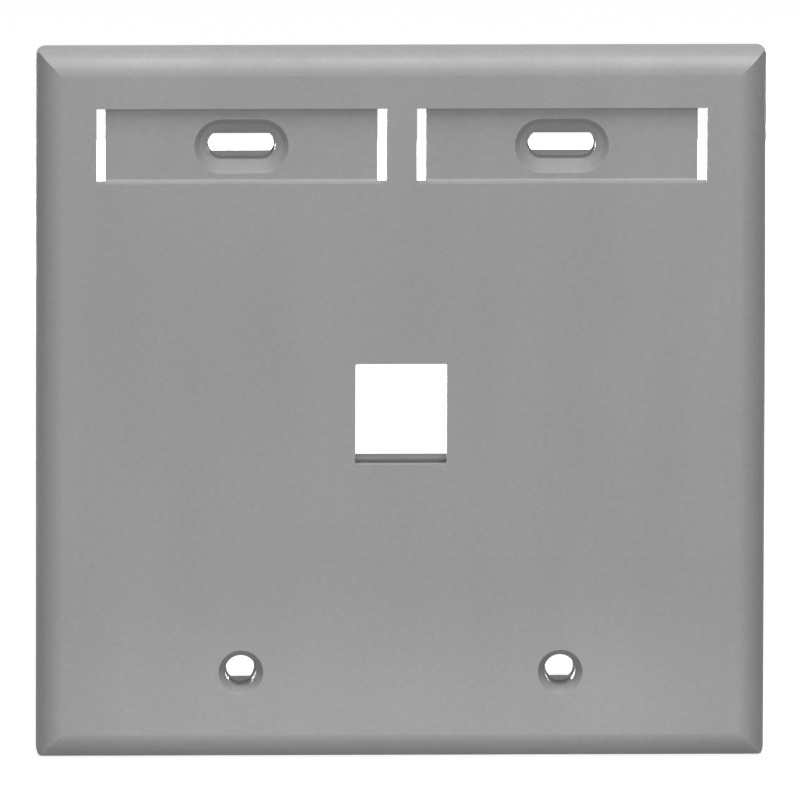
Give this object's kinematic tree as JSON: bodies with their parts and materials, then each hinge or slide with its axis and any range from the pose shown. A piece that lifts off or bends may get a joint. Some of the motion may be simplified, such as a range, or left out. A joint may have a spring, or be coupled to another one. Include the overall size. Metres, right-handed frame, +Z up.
{
  "type": "keystone faceplate",
  "caption": "Square wall plate with a rolled, mitred rim, a central keystone port, oblong and round countersunk screw holes, and long label recesses above.",
  "frame": {"origin": "middle of the rear plane, which lies against the wall", "axes": "+Z up, +X to the viewer's right as the plate hangs, +Y into the wall; the face looks towards -Y"},
  "size_m": [0.116, 0.0098, 0.1142],
  "materials": {
    "faceplate": "fine satin moulded surface"
  },
  "bodies": {
    "root": {"faceplate": "faceplate"}
  },
  "joints": []
}
